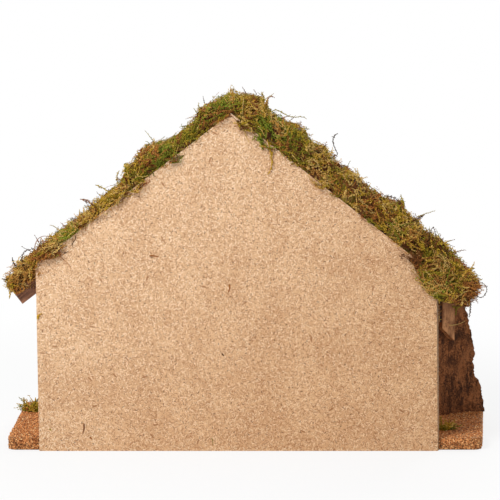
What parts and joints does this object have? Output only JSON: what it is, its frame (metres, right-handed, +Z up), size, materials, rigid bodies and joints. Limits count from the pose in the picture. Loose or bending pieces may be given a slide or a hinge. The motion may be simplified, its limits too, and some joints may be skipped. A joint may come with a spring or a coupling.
{
  "type": "nativity stable",
  "caption": "Gabled wooden nativity stable with a particle-board back, a moss-covered roof, an open log-framed front and a cork-grit base with an upright bark slab.",
  "frame": {"origin": "middle of the base board's flat underside, measured across the rear edge's width and the board's depth", "axes": "+Z up, away from the underside; +Y towards the open front, so the back panel faces -Y; +X along the stable's length, to the right as seen from behind"},
  "size_m": [0.4239, 0.2195, 0.2992],
  "materials": {
    "particle_board": "raw pressed chips, matt",
    "cork_grit": "glued cork granules, matt",
    "plywood": "brown-stained board, matt",
    "sawn_wood": "sawn and brown-stained, matt",
    "brown_wood": "weathered brown plank, matt",
    "log": "natural branch with thin bark",
    "bark": "rough natural bark, matt",
    "moss": "dried feathery moss"
  },
  "bodies": {
    "root": {"back_panel": "particle_board", "left_wall": "particle_board", "right_wall": "particle_board", "base_board": "particle_board", "ground_cover": "cork_grit", "left_roof_board": "plywood", "right_roof_board": "plywood", "left_rear_rafter": "sawn_wood", "right_rear_rafter": "sawn_wood", "ridge_beam": "sawn_wood", "left_wall_plate": "sawn_wood", "right_wall_plate": "sawn_wood", "left_corner_batten": "sawn_wood", "right_corner_batten": "sawn_wood", "bark_batten": "brown_wood", "left_front_post": "log", "right_front_post": "log", "left_front_rafter": "log", "right_front_rafter": "log", "tie_beam": "log", "bark_slab": "bark", "left_roof_moss": "moss", "right_roof_moss": "moss", "ridge_moss": "moss", "left_eave_moss": "moss", "right_eave_moss": "moss", "left_ground_moss": "moss", "right_ground_moss": "moss"}
  },
  "joints": []
}
